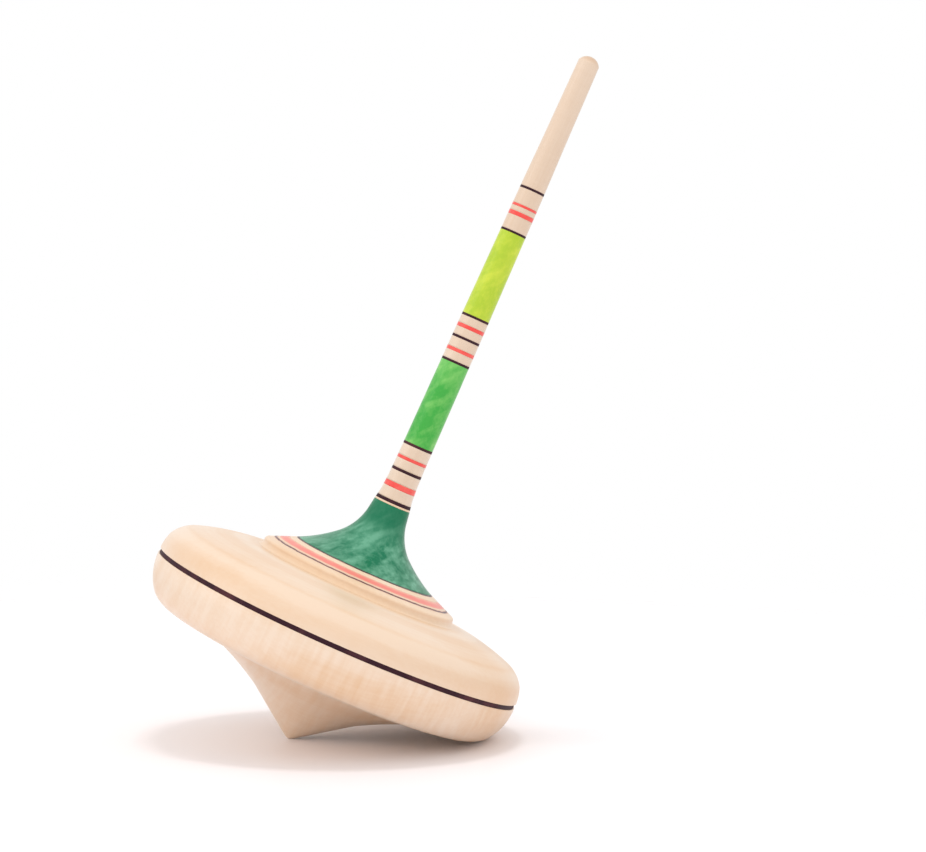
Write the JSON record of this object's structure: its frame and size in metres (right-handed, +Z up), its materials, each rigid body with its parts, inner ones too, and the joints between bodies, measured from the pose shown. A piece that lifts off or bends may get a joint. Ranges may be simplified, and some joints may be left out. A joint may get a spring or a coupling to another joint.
{
  "type": "wooden spinning top",
  "caption": "Turned wooden spinning top: a broad round disc on a pointed tip, with a flared collar and a long slim twirling spindle ringed with coloured stain.",
  "frame": {"origin": "the point of the tip that touches the table, on the spin axis", "axes": "+Z up the spin axis from the tip to the spindle's domed end; +X and +Y are any two directions across it, as the top is a figure of revolution"},
  "size_m": [0.0792, 0.0792, 0.1519],
  "materials": {
    "maple": "clear satin lacquer over pale figured maple",
    "dark_line": "dark aubergine-brown line, satin lacquered",
    "red_stain": "red wood stain, satin lacquered",
    "coral_stain": "coral red wood stain, satin lacquered",
    "dark_green_stain": "dark green wood stain, satin lacquered",
    "green_stain": "leaf green wood stain, satin lacquered",
    "lime_stain": "lime green wood stain, satin lacquered"
  },
  "bodies": {
    "root": {"disc": "maple", "flared_collar": "maple", "spindle": "maple", "rim_line": "dark_line", "collar_line": "dark_line", "coral_ring": "coral_stain", "flare_line": "dark_line", "flare_stain": "dark_green_stain", "stem_line_1": "dark_line", "stem_line_2": "dark_line", "stem_line_3": "dark_line", "stem_line_4": "dark_line", "stem_line_5": "dark_line", "stem_line_6": "dark_line", "stem_line_7": "dark_line", "stem_line_8": "dark_line", "red_ring_1": "red_stain", "red_ring_2": "red_stain", "red_ring_3": "red_stain", "red_ring_4": "red_stain", "red_ring_5": "red_stain", "red_ring_6": "red_stain", "green_band": "green_stain", "lime_band": "lime_stain"}
  },
  "joints": []
}
